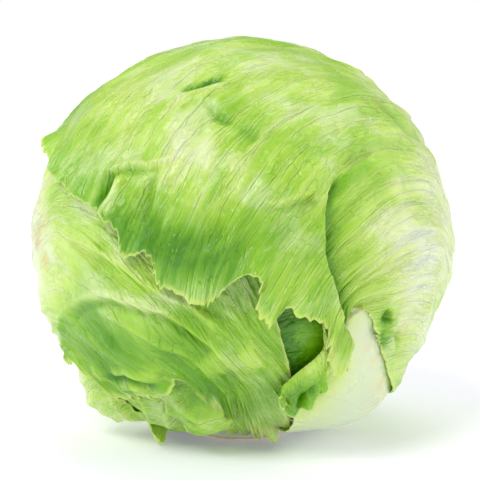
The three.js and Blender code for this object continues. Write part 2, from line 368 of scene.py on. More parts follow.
# How far a leaf lies outside its layer, how much of that is folds, and how much of it is midrib.
def shapeSurface(leaf, rowShare, d, lateral, veins, flow, seed):
    phase, fork, gap = veins
    ball = d * ballRadius
    relief = sum(height * noise(ball, size, own) for size, height, own in surface["lumps"])
    puckers = sum(height * noise(flow * [1, drawn], size, seed + own)
                  for size, height, own, drawn in surface["puckers"])
    size, height, own, drawn = surface["creases"]
    puckers = puckers + height * (1 - np.abs(noise(flow * [1, drawn], size, seed + own))) ** 2
    size, height, own = surface["crinkles"]
    crinkles = height * noise(ball, size, seed + own)
    relief = relief + leaf["crumple"] * (puckers * smooth(0.8, 3, gap) + crinkles)
    size, height, own = surface["quilts"]
    quilt = height + height * noise(ball, size, seed + own)
    fromVein = np.minimum(np.abs(phase - np.rint(phase)), np.abs(fork)) * gap
    relief = relief + leaf["puff"] * quilt * (1 - bell(fromVein, surface["veinValley"])) * smooth(3, 9, gap)
    rib = leaf["rib"]
    ribMask = bell(lateral, rib["width"] * (1 - rowShare) ** 0.8 + 1.2)
    relief = relief + ribMask * (rib["height"] * (1 - rowShare) ** 1.2 + 0.3)
    for item in leaf["ridges"]:
        relief = relief + ridge(d, *item)
    folded = 0
    for line, height, width in leaf["folds"]:
        distance, along = fromLine(d, line)
        ends = np.sin(math.pi * np.clip(along, 0, 1)) ** 0.4
        folded = folded + surface["foldHeight"] * height * bell(distance, width) * ends
    return relief + folded, folded, ribMask


# Unit vectors across a line on the head, pointing to its right.
def pleatAcross(d, line):
    points = directionsOf(line)
    return unit(np.cross(unit(points[-1] - points[0]), d))


# Lets a leaf overlap itself along its pleats: the left side rises and slides over the right one.
def slidePleats(leaf, d, relief):
    for pleat in leaf["pleats"]:
        distance, along = fromLine(d, pleat["line"])
        fade = np.interp(along, np.linspace(0, 1, len(pleat["height"])), pleat["height"])
        fade = fade * np.exp(-np.maximum(0, np.abs(distance) - pleat["reach"]) / pleat["reach"])
        step = 1 - smooth(-0.9, 0.9, distance)
        behind = np.exp(np.minimum(distance, 0) / pleat["reach"])
        bottom = -pleat["down"] * np.exp(-np.maximum(distance, 0) / 9)
        relief = relief + fade * (step * (pleat["up"] * behind) + (1 - step) * bottom)
        slide = pleat["over"] * fade * behind * step
        d = unit(d + pleatAcross(d, pleat["line"]) * (slide / ballRadius)[..., None])
    return d, relief


# The tint of a leaf, from 0, palest, to 1, darkest, with painted shade along lines and painted shade and
# light on its folds, and its brown spots.
def tintLeaf(leaf, d, folded, seed):
    ball = d * ballRadius
    tint = leaf["tint"]
    for size, amount, own in surface["tints"]:
        tint = tint + amount * noise(ball, size, seed + own)
    for azimuth, elevation, amount, spread in leaf["tints"]:
        tint = tint + amount * bell(angleFrom(d, azimuth, elevation), spread)
    # painted shade: the tint darkens in bands along these lines, in creases, on pleats and in slits
    for line, amount, leftReach, rightReach in leaf["paintedShade"]:
        distance, along = fromLine(d, line)
        fade = bell(distance, np.where(distance < 0, leftReach, rightReach))
        tint = tint + amount * fade * np.sin(math.pi * np.clip(along, 0.02, 0.98)) ** 0.3
    # painted shade and light: the valleys of the folds darken, their ridges turn paler
    tint = tint - surface["paintedFoldShading"] * np.clip(folded, -3, 2)
    blemish = np.zeros(tint.shape)
    for azimuth, elevation, amount, spread in leaf["blemishes"]:
        blemish = blemish + amount * bell(angleFrom(d, azimuth, elevation), spread)
    return tint, blemish


# How far out each leaf may lie: the lowest inner side of the leaves outside it, in half degree steps.
ceiling = np.full((360, 720), 1e3)


def ceilingCells(d):
    elevation = np.degrees(np.arcsin(np.clip(d[..., 2], -1, 1)))
    azimuth = np.degrees(np.arctan2(d[..., 0], -d[..., 1]))
    return np.clip((elevation + 90) * 2, 0, 359).astype(int), ((azimuth + 180) * 2).astype(int) % 720


def lowerCeiling(place):
    arm = place - headMiddle
    radius = np.linalg.norm(arm, axis=-1)
    layer = np.full(ceiling.shape, 1e3)
    np.minimum.at(layer, ceilingCells(arm / radius[..., None]), radius - headShape["blade"])
    for axis in (0, 1):
        layer = np.min([np.roll(layer, k, axis=axis) for k in (-2, -1, 0, 1, 2)], axis=0)
    np.minimum(ceiling, layer, out=ceiling)


# A new sheet with its vertices at the given places, and each vertex's row and column.
def layGrid(name, place):
    rows, columns = place.shape[:2]
    bpy.ops.mesh.primitive_grid_add(x_subdivisions=columns - 1, y_subdivisions=rows - 1, size=1)
    piece = bpy.context.active_object
    piece.name = name
    piece.data.name = name
    co = np.empty(len(piece.data.vertices) * 3)
    piece.data.vertices.foreach_get("co", co)
    co = co.reshape(-1, 3)
    i = np.rint((co[:, 1] + 0.5) * (rows - 1)).astype(int)
    j = np.rint((co[:, 0] + 0.5) * (columns - 1)).astype(int)
    piece.data.vertices.foreach_set("co", (place[i, j] * mm).ravel())
    return piece, i, j


# Joins the vertices of a piece that lie in one place.
def mergeDoubles(turnOutward):
    bpy.ops.object.mode_set(mode="EDIT")
    bpy.ops.mesh.select_all(action="SELECT")
    bpy.ops.mesh.remove_doubles(threshold=1e-6)
    if turnOutward:
        bpy.ops.mesh.normals_make_consistent(inside=False)
    bpy.ops.object.mode_set(mode="OBJECT")


# A leaf blade with its marks for the material. Its UV is distance along the veins and from the midrib.
def writeLeaf(name, place, attributes, flow):
    piece, i, j = layGrid(name, place)
    mesh = piece.data
    for key, values in attributes.items():
        mesh.attributes.new(key, "FLOAT", "POINT").data.foreach_set("value", values[i, j].astype(np.float32))
    corner = np.empty(len(mesh.loops), dtype=np.int32)
    mesh.loops.foreach_get("vertex_index", corner)
    mesh.uv_layers.active.data.foreach_set("uv", (flow[i, j][corner] * 0.01).ravel())
    mergeDoubles(turnOutward=False)
    bpy.ops.object.modifier_add(type="SOLIDIFY")
    wall = piece.modifiers[-1]
    wall.thickness = headShape["blade"] * mm
    wall.offset = -1
    bpy.ops.object.modifier_apply(modifier=wall.name)
    bpy.ops.object.shade_smooth_by_angle(angle=math.radians(70))
    piece.select_set(False)
    return piece


# A closed round shell: rows run up from the foot to the top, columns go once round.
def writeShell(name, place):
    piece, _, _ = layGrid(name, place)
    mergeDoubles(turnOutward=True)
    bpy.ops.object.shade_smooth_by_angle(angle=math.radians(50))
    piece.select_set(False)
    return piece


def makeLeaf(name, leaf, seed):
    s, halves = leafGrid(leaf)
    left, right = [makeHalf(leaf, s, half, frill, sign, seed)
                   for half, frill, sign in zip(halves, leaf["frill"], (-1, 1))]
    if leaf["collar"]:
        left = foldCollar(leaf["collar"], s, left, seed)
    d, edge, lateral, lift, share = [np.concatenate([a[:, ::-1], b[:, 1:]], axis=1)
                                     for a, b in zip(left, right)]
    rowShare = np.broadcast_to(s[:, None], lateral.shape)
    phase, fork, gap = layVeins(leaf, rowShare, d, lateral, share, seed)
    flow = np.stack([phase * leaf["veinPitch"], lateral], axis=-1)
    relief, folded, ribMask = shapeSurface(leaf, rowShare, d, lateral, (phase, fork, gap), flow, seed)
    tint, blemish = tintLeaf(leaf, d, folded, seed)
    blanch = np.clip(ribMask * (1.25 - 0.9 * rowShare), 0, 1) * leaf["rib"]["pale"]

    moved, relief = slidePleats(leaf, d, relief)
    radius = headRadius(moved) - leaf["depth"] + relief + lift
    radius = np.minimum(radius, ceiling[ceilingCells(moved)] - headShape["gap"])
    place = moved * radius[..., None] + headMiddle
    foot, waviness, size = headShape["foot"]
    place[..., 2] = np.maximum(place[..., 2], foot + waviness * noise(d * ballRadius, size, seed))
    lowerCeiling(place)
    attributes = {"veinPhase": phase, "veinGap": gap, "leafTint": tint * (1 - blanch), "edgeDistance": edge,
                  "ribPale": blanch, "veinFork": fork, "blemish": blemish}
    return writeLeaf(name, place, attributes, flow)


# Outlines are [azimuth, elevation, share of the way up], lean and frill are [share, value] and ridges
# are what ridge takes. Folds are line, height, width, and the painted shade lines are line, amount,
# reach to the left and to the right: they paint shade into the tint along creases, pleats and slits.
# Tints and blemishes are azimuth, elevation, amount, spread in degrees.
plain = {"softness": 0.012, "relax": 0, "lean": [[0, 0.2]], "veins": 16, "veinPitch": 12, "puff": 0.9,
    "crumple": 1.0, "collar": None, "tooth": 1.7, "toothSize": 2.9, "ruffle": 2.2, "ruffleSize": 16,
    "ruffleReach": 9, "ridges": [], "folds": [], "frill": [[[0, 0], [1, 0]], [[0, 0], [1, 0]]],
    "pleats": [], "tints": [], "paintedShade": [], "blemishes": [], "tint": 0.5,
    "rib": {"width": 12, "height": 2, "pale": 0.9}, "rows": 150, "columns": [40, 40]}

foldLine = [[29, -25], [28, -20], [26, -15], [24, -12], [22, -5], [20, 1], [19.5, 5], [19.5, 9], [20, 14],
    [22, 19], [25, 22], [29, 24]]

crownLeaf = dict(plain, depth=0, softness=0.004, relax=300, tooth=2.3, ruffle=2.8, veins=40, rows=380,
    columns=[80, 34], tint=0.6,
    lean=[[0, 0.1], [0.1, 0.4], [0.2, 0.9], [0.28, 1.15], [0.36, 1.2], [0.44, 1.0], [0.52, 0.7],
        [0.62, 0.45], [0.74, 0.3], [1, 0.25]],
    midrib=[[106, -73, 0], [98, -50, 0.12], [94, -28, 0.25], [92, -8, 0.38], [92, 12, 0.51], [94, 34, 0.63],
        [98, 54, 0.74], [118, 74, 0.82], [-110, 80, 0.88], [-92, 58, 0.94], [-93, 30, 1]],
    left=[[98, -62, 0], [88, -52, 0.035], [74, -44, 0.065], [60, -38, 0.1], [52, -31, 0.13],
        [46, -25, 0.16], [42, -20, 0.185], [40, -16, 0.205], [37, -12, 0.225], [33, -10, 0.245],
        [29, -12, 0.27], [29, -21, 0.31], [27, -24, 0.33], [24, -22, 0.345], [22, -20, 0.36],
        [21, -16, 0.375], [20, -13, 0.39], [18, -11, 0.405], [15, -10, 0.425], [11, -7, 0.45],
        [8, -11, 0.47], [5, -7, 0.49], [5, -1, 0.51], [0, 0, 0.53], [-5, -3, 0.55], [-9, -6, 0.575],
        [-12, -5, 0.59], [-15, -3, 0.61], [-21, 0, 0.64], [-24, 4, 0.66], [-28, 5, 0.68], [-31, 6, 0.7],
        [-34, 11, 0.72], [-38, 12, 0.735], [-41, 13, 0.75], [-46, 15, 0.775], [-51, 17, 0.8],
        [-55, 19, 0.82], [-60, 21, 0.845], [-66, 23, 0.87], [-74, 24, 0.9], [-79, 27, 0.93],
        [-84, 30, 0.965]],
    right=[[132, -68, 0], [146, -40, 0.14], [160, -12, 0.32], [180, 8, 0.55], [-150, 22, 0.78],
        [-118, 32, 0.93]],
    frill=[[[0, 0], [0.15, 0], [0.18, 0.7], [0.25, 0.8], [0.3, 0.3], [0.34, 0.7], [0.6, 1], [0.7, 1.5],
        [0.82, 1.3], [0.9, 0.9], [1, 0.6]], [[0, 0.3], [0.2, 1], [1, 1]]],
    rib={"width": 13, "height": 2, "pale": 0.6},

        pleats=[{"line": foldLine, "height": [1, 1, 1, 1, 1, 0.95, 0.9, 0.85, 0.8, 0.7, 0.5, 0],
        "reach": 18, "up": 4.6, "down": 3.2, "over": 4.0}],
    # painted shade: along the pleat's fold line, mostly on its lower right side, and in the valleys of its
    # creases
    paintedShade=[[foldLine, 0.5, 0.3, 7], [[[-34, 6], [-24, 8], [-12, 4], [-4, 4]], 0.25, 9, 9], [[[38, 27],
        [55, 20], [70, 4]], 0.1, 7, 7], [[[-24, 50], [-17, 53], [-8, 56]], 0.5, 1.5, 1.5], [[[-40, 47],
        [-38, 50]], 0.3, 1.2, 1.2]], ridges=[[-82, 26, 4, 5, 7, 0]],
    folds=[[[[5, 18], [9, 17], [15, 19], [18, 18], [24, 19]], 0.9, 0.9], [[[4, 16.5], [9, 15.5], [15, 17],
        [19, 16]], -0.7, 0.9], [[[-40, 24], [-34, 27], [-27, 27], [-20, 29], [-17, 34]], 1.1, 1.0],
        [[[-40, 22], [-34, 25], [-27, 25], [-19, 27]], -0.9, 1.1], [[[-19, 4], [-9, 5], [-4, 7],
        [2, 12]], 0.9, 1.2], [[[17, 44], [7, 35], [-3, 25]], 0.8, 1.0], [[[-24, 50], [-17, 53],
        [-8, 56]], -2.6, 1.4], [[[-25, 47], [-16, 50], [-6, 53]], 1.4, 2.5], [[[-40, 47],
        [-38, 50]], -1.8, 1.2], [[[-12, 46], [-8, 42], [-2, 40]], -1.6, 2.2], [[[-2, 40], [2, 37],
        [5, 34]], -1.4, 3], [[[-8, 40], [-10, 32], [-9, 24]], 1.5, 3.5], [[[-20, 38], [-17, 30],
        [-20, 22]], 1.6, 4], [[[-3, 30], [0, 24], [-2, 18]], 1.2, 4], [[[-24, 26], [-25, 18],
        [-26, 12]], -1.6, 2.2], [[[-38, 24], [-39, 18], [-41, 14]], -3.0, 1.8], [[[-35, 24], [-35, 18],
        [-36, 13]], 1.6, 2.5], [[[70, 48], [68, 41], [71, 35], [86, 29], [92, 25]], -1.6, 2.5], [[[40, 27],
        [48, 24], [51, 16]], 1.2, 5], [[[40, 6], [50, 8], [60, 2]], 1.2, 5], [[[42, -14],
        [46, -15]], -2.2, 2.0], [[[43, -19], [49, -18]], 2.0, 2], [[[45, -23], [51, -22]], 1.3, 1.5],
        [[[47, -19], [52, -21], [55, -26]], -1.2, 1.4]],
    # The spot at [43, -14] is painted shadow: a dark spot in the deep hollow at the hole in this leaf.
    tints=[[95, 12, -0.42, 34], [56, 0, -0.32, 20], [62, -30, -0.12, 14], [-22, 8, 0.2, 12],
        [-3, 8, 0.14, 9], [-50, 22, 0.12, 14], [-10, 74, -0.16, 22], [-44, 44, -0.22, 20],
        [-12, 26, -0.14, 12], [45, -20, 0.45, 4.5], [22, 56, -0.1, 14], [43, -14, 0.4, 2],
        [-2, 2, 0.06, 14], [-34, 10, 0.08, 8]],
    blemishes=[[55, -21, 0.6, 2], [53, -17, 0.3, 2], [33, -11, 0.5, 1], [66, 44, 0.3, 3]])

ribLeaf = dict(plain, depth=2.7, veins=10, rows=260, columns=[34, 40], tint=0.4, puff=0.3, softness=0.008,
    crumple=0.5,
    midrib=[[50, -72], [52, -60], [50, -45], [44, -28], [36, -10], [26, 8], [16, 22], [14, 36]],
    left=[[34, -70, 0], [27, -60, 0.09], [24, -51, 0.2], [19, -42, 0.28], [13, -34, 0.38], [17, -29, 0.46],
        [22, -24, 0.54], [24, -20, 0.6], [22, -13, 0.67], [18, 4, 0.82], [12, 22, 0.93]],
    right=[[82, -66, 0], [80, -56, 0.12], [78, -48, 0.2], [66, -38, 0.3], [61, -28, 0.46], [58, -8, 0.66],
        [46, 16, 0.84], [30, 32, 0.94]],
    frill=[[[0, 0.0], [0.56, 0], [0.62, 0.6], [0.7, 0.3], [1, 0.0]], [[0, 0], [1, 0]]],
    collar={"margin": [[19, -42, 0.28], [12, -34, 0.34], [13, -38, 0.38], [17, -43, 0.43], [22, -43, 0.47],
        [24, -40, 0.5], [27, -37, 0.54], [26, -31, 0.58], [25, -26, 0.62],
        [22, -14, 0.68]], "columns": 18, "rise": 2.2, "roll": 1.3, "tooth": 1.8,
        "toothSize": 3.4, "ruffle": 2.8, "ruffleSize": 8},
    tints=[[19, -37, 0.42, 9], [24, -40, 0.12, 5]],
    blemishes=[[52, -36, 0.5, 2.5], [45, -28, 0.35, 2], [40, -23, 0.3, 2], [55, -42, 0.3, 3]],
    folds=[[[[20, -42], [21, -37], [24, -33]], -1.8, 1.3], [[[23, -41], [24, -36], [26, -32]], 1.2, 1.3]],
    rib={"width": 28, "height": 3.5, "pale": 1.0})

leftLeaf = dict(plain, depth=4.4, relax=300, tooth=2.0,
    lean=[[0, 0.3], [0.2, 0.5], [0.28, 0.7], [0.34, 0.9], [0.37, 1.2], [0.46, 1.3], [0.52, 1.0],
        [0.62, 0.5], [1, 0.2]], veins=28, rows=400, columns=[32, 74], tint=0.64, softness=0.005,
    midrib=[[-104, -72], [-96, -42], [-86, -8], [-74, 20], [-54, 42], [-52, 62]],
    left=[[-132, -68, 0], [-142, -42, 0.2], [-150, -10, 0.42], [-146, 20, 0.62], [-122, 44, 0.8],
        [-88, 58, 0.93]],
    right=[[-88, -62, 0], [-86, -44, 0.12], [-80, -29, 0.18], [-75, -27, 0.2], [-70, -31, 0.22],
        [-62, -37, 0.245], [-57, -42, 0.265], [-54, -44, 0.275], [-44, -41, 0.31], [-35, -40, 0.33],
        [-28, -39, 0.345], [-24, -35, 0.355], [-19, -31, 0.365], [-13, -38, 0.38], [-8, -44, 0.395],
        [-4, -52, 0.41], [2, -60, 0.425], [9, -66, 0.44], [18, -69, 0.455], [26, -66, 0.475],
        [28, -60, 0.5], [24, -52, 0.52], [19, -42, 0.545], [17, -33, 0.57], [14, -25, 0.6],
        [11, -17, 0.625], [9, -10, 0.65], [9, 8, 0.76], [-12, 42, 0.92]],
    frill=[[[0, 0.2], [0.2, 1], [0.5, 0.8], [0.62, 0]], [[0, 0], [0.16, 0], [0.2, 0.8], [0.4, 1],
        [0.48, 0.9], [0.51, 0.1], [1, 0]]], rib={"width": 20, "height": 2, "pale": 0.8},
    ridges=[[22, -66, 8, 8, 7, 0]],
    pleats=[{"line": [[-55, 2], [-56, -5], [-60, -12], [-64, -18], [-69, -25],
        [-71, -31]], "height": [0, 0.4, 0.8, 1, 1, 1], "reach": 12, "up": 2.4, "down": 2.2, "over": 1.6}],
    folds=[[[[-63, -18], [-51, -11], [-45, -9], [-38, -8], [-30, -9], [-22, -11], [-16, -15], [-9, -20],
        [-3, -26], [3, -34]], 1.5, 1.6], [[[-58, -19], [-50, -14], [-44, -12], [-38, -11], [-30, -12],
        [-22, -14], [-16, -18], [-9, -23]], -1.0, 1.6], [[[-47, -12], [-39, -15], [-31, -18], [-24, -22],
        [-17, -24], [-11, -28], [-2, -39]], 0.8, 1.6], [[[-51, 5], [-40, 3], [-33, 1], [-27, -3], [-20, -7],
        [-13, -10], [-4, -16], [3, -25]], 1.1, 1.6], [[[-8, -8], [-2, -12], [3, -20], [7, -28]], 1.0, 1.5],
        [[[-62, -22], [-50, -24], [-38, -27], [-26, -32]], 1.4, 5], [[[-50, -34], [-42, -33], [-34, -33],
        [-27, -32]], 1.5, 2], [[[-50, -36], [-42, -35], [-34, -36], [-27, -35]], -1.8, 1.3], [[[-48, -39],
        [-40, -38], [-32, -38]], 1.6, 1.6], [[[-57, -33], [-54, -38]], 1.5, 2], [[[-10, -24],
        [-5, -30]], 1.6, 6], [[[0, -22], [6, -28]], 1.4, 5]],
    # painted shade: along its pleat and in the valleys of its folds
    paintedShade=[[[[-60, -16], [-67, -24], [-70, -31]], 0.14, 6, 0.8], [[[-52, -36], [-42, -35],
        [-30, -36]], 0.35, 1.5, 1.5], [[[-56, -22], [-44, -24], [-34, -28]], 0.12, 7, 7]],
    tints=[[-88, 0, -0.5, 22], [-60, 2, -0.2, 14], [-30, -4, -0.16, 12], [-44, -26, 0.26, 15],
        [-13, -24, 0.17, 14], [-4, -42, 0.2, 16], [8, -60, -0.1, 12], [-38, -37, -0.12, 8]],
    blemishes=[[-77, 2, 0.8, 2.5], [-72, -3, 0.7, 2.2], [-74, 6, 0.4, 2.5], [-80, 12, 0.3, 3]])

# The pocket leaf lies deep in a recess: its deep tint, darker still low down at [24, -36], is partly painted
# shade, and its shade line paints the dark slit along its left edge.
pocketLeaf = dict(plain, depth=6.1, veins=11, tint=0.84, softness=0.01,
    midrib=[[34, -72], [33, -50], [29, -26], [28, -6], [30, 10], [32, 28]],
    left=[[18, -69, 0], [17, -50, 0.18], [14, -34, 0.32], [8, -20, 0.46], [4, -8, 0.62], [10, 16, 0.92]],
    right=[[72, -69, 0], [66, -50, 0.2], [60, -24, 0.46], [56, 2, 0.74], [46, 20, 0.9]],
    tints=[[24, -36, 0.3, 6]], paintedShade=[[[[10, -10], [13, -20], [18, -33]], 0.6, 3, 3]], puff=0.5,
    crumple=0.5, rib={"width": 3, "height": 0.5, "pale": 0.1})

lowerLeftLeaf = dict(plain, depth=6.1, veins=12, tint=0.58, softness=0.01, rows=190, columns=[44, 44],
    midrib=[[-79, -62], [-77, -52], [-73, -38], [-68, -20], [-62, -4], [-58, 10]],
    left=[[-104, -56, 0], [-104, -50, 0.14], [-99, -36, 0.4], [-90, -14, 0.68], [-76, 4, 0.9]],
    right=[[-66, -64, 0], [-57, -64, 0.03], [-50, -63, 0.05], [-49, -60, 0.07], [-54, -56, 0.11],
        [-57, -50, 0.17], [-58, -43, 0.28], [-50, -28, 0.58], [-42, -4, 0.86]],
    ridges=[[-80, -50, 8, 16, 15, 0], [-80, -34, 2, 4, 3, 0], [-50, -61, 9, 4, 6, 0]],
    folds=[[[[-92, -44], [-80, -46], [-70, -44], [-60, -44]], 0.8, 2], [[[-70, -60], [-62, -52],
        [-58, -42]], 1.2, 2], [[[-66, -60], [-58, -50], [-55, -43]], -1.0, 1.5]],
    # painted shade beside the fold valley near its right margin
    paintedShade=[[[[-56, -60], [-54, -50], [-53, -43]], 0.3, 1.2, 6]],
    tints=[[-78, -58, 0.12, 6], [-66, -44, 0.1, 14], [-51, -60, -0.4, 5]],
    rib={"width": 10, "height": 1, "pale": 0.4},
    frill=[[[0, 0.6], [0.3, 0]], [[0, 0.6], [0.3, 0.3], [0.4, 0]]])

# Its tints at [14, -24] and [18, -36] paint it dark as shadow where it shows through the slit beside the
# pocket leaf.
lowerFrontLeaf = dict(plain, depth=7.8, veins=12, tint=0.6, rows=190, columns=[44, 40],
    midrib=[[4, -72], [0, -54], [-4, -34], [-4, -12], [-4, 0], [-6, 14]],
    left=[[-2, -70, 0], [-13, -67, 0.06], [-25, -61, 0.14], [-29, -51, 0.24], [-36, -41, 0.36],
        [-40, -32, 0.5], [-36, -18, 0.68], [-26, 4, 0.88]],
    right=[[28, -69, 0], [30, -52, 0.2], [32, -30, 0.46], [28, -6, 0.72], [14, 8, 0.9]],
    ridges=[[-18, -54, 7, 16, 16, 0]],
    folds=[[[[-30, -44], [-22, -46], [-14, -50], [-6, -56]], 1.0, 2], [[[-26, -50], [-18, -52],
        [-10, -56]], 0.8, 1.6]], tints=[[14, -24, 0.6, 9], [18, -36, 0.6, 6], [-20, -42, 0.15, 7]],
    rib={"width": 8, "height": 0.5, "pale": 0.2}, frill=[[[0, 1], [0.4, 1], [0.5, 0]], [[0, 0], [1, 0]]])

underFrontLeaf = dict(plain, depth=9.5, veins=12, tint=0.68, rows=170,
    midrib=[[-36, -68], [-38, -54], [-40, -34], [-40, -10], [-40, 2], [-40, 16]],
    left=[[-56, -64, 0], [-60, -56, 0.12], [-66, -44, 0.3], [-70, -24, 0.6], [-58, 10, 0.9]],
    right=[[-14, -68, 0], [-14, -52, 0.18], [-10, -30, 0.46], [-10, -4, 0.74], [-22, 12, 0.9]],
    ridges=[[-46, -57, 8.5, 16, 18, 0]],
    folds=[[[[-50, -56], [-46, -50], [-44, -44]], 1.0, 1.5], [[[-40, -60], [-37, -54],
        [-36, -48]], 1.0, 1.5]], rib={"width": 4, "height": 0.4, "pale": 0.1},
    frill=[[[0, 0.5], [0.2, 0.5], [0.4, 0]], [[0, 0], [1, 0]]])

rearLeaf = dict(plain, depth=6.1, veins=14, rows=220, columns=[50, 50],
    midrib=[[-170, -72], [-172, -48], [-175, -15], [-178, 18], [-176, 40], [-176, 58]],
    left=[[162, -69, 0], [140, -44, 0.15], [130, -14, 0.38], [134, 18, 0.64], [152, 44, 0.88]],
    right=[[-132, -69, 0], [-126, -44, 0.15], [-112, -14, 0.38], [-114, 16, 0.64], [-138, 42, 0.88]],
    frill=[[[0, 0.3], [0.15, 1], [0.4, 0.8], [0.6, 0]], [[0, 0], [1, 0]]])

rearRightLeaf = dict(plain, depth=7.8, veins=14, tint=0.3, rows=200, columns=[50, 50],
    midrib=[[128, -72], [124, -48], [118, -18], [116, 10], [118, 26], [120, 44]],
    left=[[76, -69, 0], [58, -50, 0.16], [50, -24, 0.4], [54, 4, 0.66], [84, 30, 0.88]],
    ridges=[[92, -34, 6, 26, 26, 0]],
    right=[[166, -69, 0], [176, -44, 0.16], [178, -14, 0.4], [168, 16, 0.68], [146, 36, 0.9]], crumple=0.5)

wrapperLeaves = {
    "crown_wrapper_leaf": crownLeaf, "front_rib_leaf": ribLeaf, "left_wrapper_leaf": leftLeaf,
    "pocket_leaf": pocketLeaf, "lower_left_leaf": lowerLeftLeaf, "rear_wrapper_leaf": rearLeaf,
    "lower_front_leaf": lowerFrontLeaf, "rear_right_leaf": rearRightLeaf, "under_front_leaf": underFrontLeaf}

headLeaves = {"count": 9, "turn": 137.5, "depth": 12.5, "pitch": 2.9, "seed": 400, "seedStep": 7}
wrapperSeeds = {"seed": 40, "seedStep": 13}


def headLeaf(azimuth, depth):
    side = [[22, -64, 0], [58, -38, 0.18], [74, -4, 0.42], [78, 30, 0.68], [84, 58, 0.88]]
    return dict(plain, depth=depth, veins=10, tint=0.22, rows=64, columns=[22, 22], softness=0.03,
                midrib=[[azimuth, e] for e in (-67, -35, 0, 35, 66, 84)],
                left=[[azimuth - a, e, s] for a, e, s in side],
                right=[[azimuth + a, e, s] for a, e, s in side])


# Sets inputs named with _ for a space, or with i and their number, to a value or to another output.
def feed(tree, node, **inputs):
    for key, value in inputs.items():
        socket = node.inputs[int(key[1:]) if key[1:].isdigit() else key.replace("_", " ")]
        if isinstance(value, bpy.types.NodeSocket):
            tree.links.new(value, socket)
        else:
            socket.default_value = value
    return node


def put(tree, kind, settings=None, **inputs):
    node = tree.nodes.new(kind)
    for key, value in (settings or {}).items():
        setattr(node, key, value)
    return feed(tree, node, **inputs)


def reckon(tree, operation, *values, clamp=False):
    return put(tree, "ShaderNodeMath", {"operation": operation, "use_clamp": clamp},
               **{f"i{k}": v for k, v in enumerate(values)}).outputs[0]


def times(tree, first, second):
    return reckon(tree, "MULTIPLY", first, second)


# The sum of values, each times its amount.
def weighted(tree, *terms):
    total = times(tree, *terms[0])
    for value, amount in terms[1:]:
        total = reckon(tree, "ADD", total, times(tree, value, amount))
    return total


def centred(tree, value):
    return reckon(tree, "SUBTRACT", value, 0.5)


# Moves a value from the range start to end into the range low to high.
def mapRange(tree, value, start, end, low, high, easing="LINEAR"):
    return put(tree, "ShaderNodeMapRange", {"interpolation_type": easing}, Value=value, From_Min=start,
               From_Max=end, To_Min=low, To_Max=high).outputs[0]


def eased(tree, value, start, end, low, high):
    return mapRange(tree, value, start, end, low, high, "SMOOTHSTEP")


def bandOf(tree, value, nearEdge, farEdge):
    return eased(tree, value, nearEdge, farEdge, 1.0, 0.0)


def readValue(tree, name):
    return put(tree, "ShaderNodeAttribute", {"attribute_name": name}).outputs["Fac"]


def vectorMath(tree, operation, first, second):
    return put(tree, "ShaderNodeVectorMath", {"operation": operation}, i0=first, i1=second).outputs[0]


def stretched(tree, flow, across, along):
    return vectorMath(tree, "MULTIPLY", flow, (across, along, 1.0))


# Output 0 of a noise is its value, 1 its colour.
def speckle(tree, vector, scale, detail=2.0, flat=True, output=0):
    return put(tree, "ShaderNodeTexNoise", {"noise_dimensions": "2D" if flat else "3D"}, Vector=vector,
               Scale=scale, Detail=detail).outputs[output]


def mixColours(tree, share, first, second):
    return put(tree, "ShaderNodeMix", {"data_type": "RGBA"}, i0=share, i6=first, i7=second).outputs[2]


def colour(text):
    channels = [int(text[k:k + 2], 16) / 255 for k in (0, 2, 4)]
    return tuple((c / 12.92 if c < 0.04045 else ((c + 0.055) / 1.055) ** 2.4) for c in channels) + (1.0,)


def fillRamp(tree, share, colours):
    ramp = put(tree, "ShaderNodeValToRGB", Fac=share)
    stops = ramp.color_ramp.elements
    for k, (at, text) in enumerate(colours):
        stop = stops[k] if k < 2 else stops.new(at)
        stop.position = at
        stop.color = colour(text)
    return ramp.outputs[0]


def bumped(tree, strength, distance, height, **inputs):
    return put(tree, "ShaderNodeBump", Strength=strength, Distance=distance, Height=height,
               **inputs).outputs[0]


def newMaterial(name):
    material = bpy.data.materials.new(name)
    material.use_nodes = True
    return material, material.node_tree, material.node_tree.nodes["Principled BSDF"]


# Edges are distances in mm, except the net's, which are shares of one of its cells.
veinLook = {"core": [0.08, 0.34], "band": [0.25, 1.3], "net": [0.0, 0.05], "pillow": [0.0, 0.3],
            "wobble": [11.0, 0.3], "netScale": 26.0, "netBend": [18.0, 0.04], "zoneScale": 4.5,
            "fadeScale": 16.0, "streakScale": 110.0,
            "heights": {"core": -0.35, "band": 0.3, "pillow": 0.6, "streaks": 0.25}}


